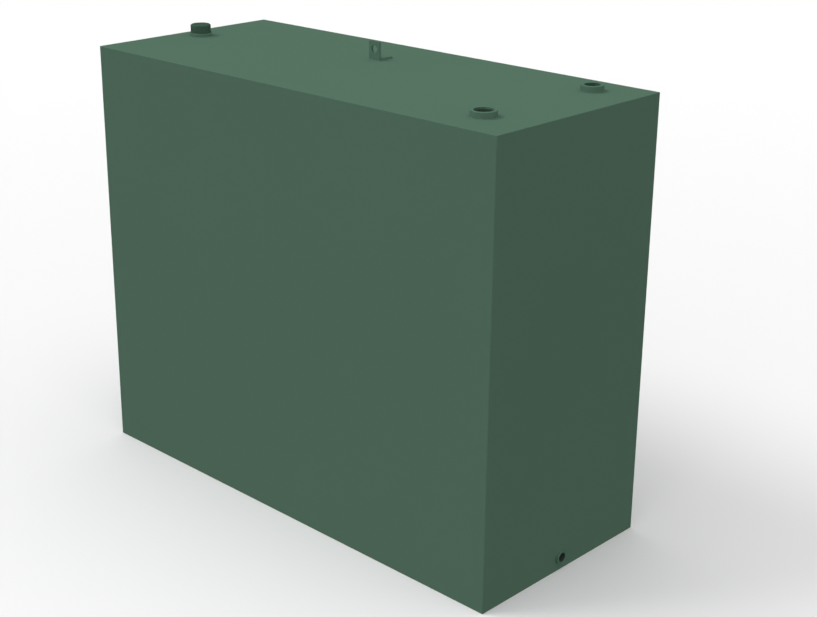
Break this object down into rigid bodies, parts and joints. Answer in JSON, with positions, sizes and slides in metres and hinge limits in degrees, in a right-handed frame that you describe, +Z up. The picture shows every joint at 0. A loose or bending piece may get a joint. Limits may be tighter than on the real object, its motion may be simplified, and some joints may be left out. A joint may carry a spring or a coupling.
{
  "type": "welded steel oil tank",
  "caption": "Free-standing rectangular oil storage tank of flat welded steel plate, with threaded pipe sockets on its top and low on one end, a screw filler cap and a lifting lug.",
  "frame": {"origin": "middle of the tank's underside, on the floor", "axes": "+Z up, +X along the length towards the end with the outlet socket, -Y the front"},
  "size_m": [1.432, 0.6, 1.22],
  "materials": {
    "plate_paint": "matt grey-green paint on flat steel plate",
    "weld_paint": "matt grey-green paint over dressed weld metal",
    "fitting_paint": "matt grey-green paint on forged and rolled steel",
    "cap_plastic": "moulded dark green plastic"
  },
  "bodies": {
    "tank": {"base_plate": "plate_paint", "top_plate": "plate_paint", "front_wall": "plate_paint", "back_wall": "plate_paint", "left_end": "plate_paint", "right_end": "plate_paint", "base_front_seam": "weld_paint", "base_back_seam": "weld_paint", "base_left_seam": "weld_paint", "base_right_seam": "weld_paint", "top_front_seam": "weld_paint", "top_back_seam": "weld_paint", "top_left_seam": "weld_paint", "top_right_seam": "weld_paint", "front_left_seam": "weld_paint", "front_right_seam": "weld_paint", "back_left_seam": "weld_paint", "back_right_seam": "weld_paint", "filler_socket": "fitting_paint", "gauge_socket": "fitting_paint", "vent_socket": "fitting_paint", "outlet_socket": "fitting_paint", "lifting_lug": "fitting_paint", "filler_socket_weld": "weld_paint", "gauge_socket_weld": "weld_paint", "vent_socket_weld": "weld_paint", "outlet_socket_weld": "weld_paint", "lifting_lug_weld": "weld_paint"},
    "cap": {"filler_cap": "cap_plastic"}
  },
  "joints": [
    {"name": "cap_lift", "type": "slide", "parent": "tank", "child": "cap", "axis": [0, 0, 1], "range_m": [0, 0.1]}
  ]
}
